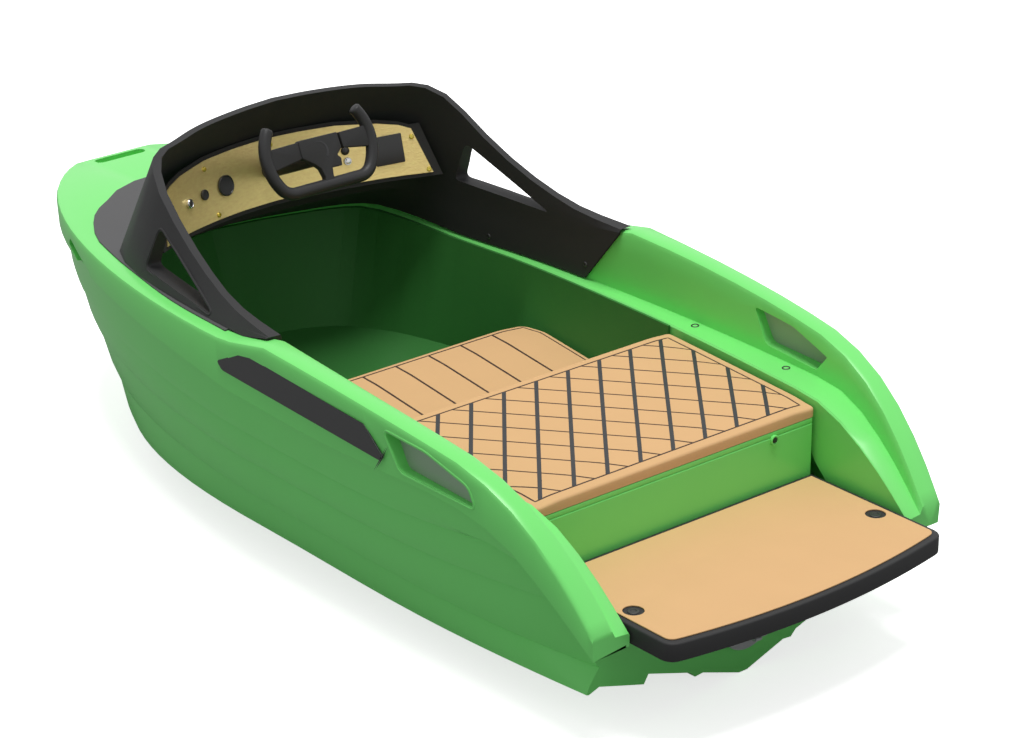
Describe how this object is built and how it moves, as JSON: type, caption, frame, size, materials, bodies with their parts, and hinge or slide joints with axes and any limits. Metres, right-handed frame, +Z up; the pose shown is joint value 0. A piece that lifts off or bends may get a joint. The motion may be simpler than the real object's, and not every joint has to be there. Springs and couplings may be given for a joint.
{
  "type": "electric jet boat",
  "caption": "Open jet boat with lapped-plank hull, wrap-round windscreen surround, arched dash, padded seats over the motor box and a bathing platform over the jet.",
  "frame": {"origin": "on the centre plane at the waterline, amidships", "axes": "+X towards the bow, +Y to port, +Z up"},
  "size_m": [2.663, 1.176, 0.8948],
  "materials": {
    "green_gelcoat": "gloss gelcoat",
    "black_moulding": "satin",
    "grey_moulding": "satin",
    "brass_sheet": "brushed",
    "black_gloss": "gloss",
    "steel": "brushed",
    "wheel_grip": "satin",
    "tan_pad": "matt closed-cell foam",
    "alloy": "cast",
    "battery_case": "matt",
    "bronze": "cast"
  },
  "bodies": {
    "boat": {"hull_shell": "green_gelcoat", "deck_moulding": "green_gelcoat", "tub_liner": "green_gelcoat", "stern_deck": "green_gelcoat", "cowl": "black_moulding", "cowl_flange": "grey_moulding", "dash_panel": "black_moulding", "dash_fascia": "brass_sheet", "gauge_large": "black_gloss", "gauge_small": "black_gloss", "key_switch": "steel", "start_button": "steel", "warning_lamp": "black_gloss", "display_screen": "black_gloss", "steering_column": "black_moulding", "seat_base": "green_gelcoat", "seat_pad": "tan_pad", "engine_box": "green_gelcoat", "box_plug": "black_moulding", "hatch_hinges": "steel", "motor_block": "alloy", "battery_block": "battery_case", "platform_base": "black_moulding", "platform_pad": "tan_pad", "platform_bolts": "steel", "side_plates": "black_moulding", "side_meshes": "steel", "intake_duct": "alloy", "intake_grate": "steel", "pump_housing": "alloy"},
    "wheel": {"wheel_rim": "wheel_grip", "wheel_hub": "black_moulding"},
    "hatch": {"hatch_lid": "green_gelcoat", "rear_pad": "tan_pad"},
    "rotor": {"pump_shaft": "steel", "impeller": "bronze"},
    "nozzle": {"steering_nozzle": "alloy"}
  },
  "joints": [
    {"name": "wheel_turn", "type": "hinge", "parent": "boat", "child": "wheel", "pos_m": [0.43, 0, 0.612], "axis": [-0.9157, 0, 0.402], "range_deg": [-100, 100]},
    {"name": "hatch_lift", "type": "hinge", "parent": "boat", "child": "hatch", "pos_m": [-0.351, 0, 0.2338], "axis": [0, 1, 0], "range_deg": [0, 70]},
    {"name": "rotor_spin", "type": "hinge", "parent": "boat", "child": "rotor", "pos_m": [-1, 0, -0.04], "axis": [1, 0, 0], "continuous": true},
    {"name": "nozzle_steer", "type": "hinge", "parent": "boat", "child": "nozzle", "pos_m": [-1.125, 0, -0.04], "axis": [0, 0, 1], "range_deg": [-25, 25]}
  ],
  "couplings": [
    {"joint": "nozzle_steer", "follows": "wheel_turn", "ratio": 0.25}
  ]
}
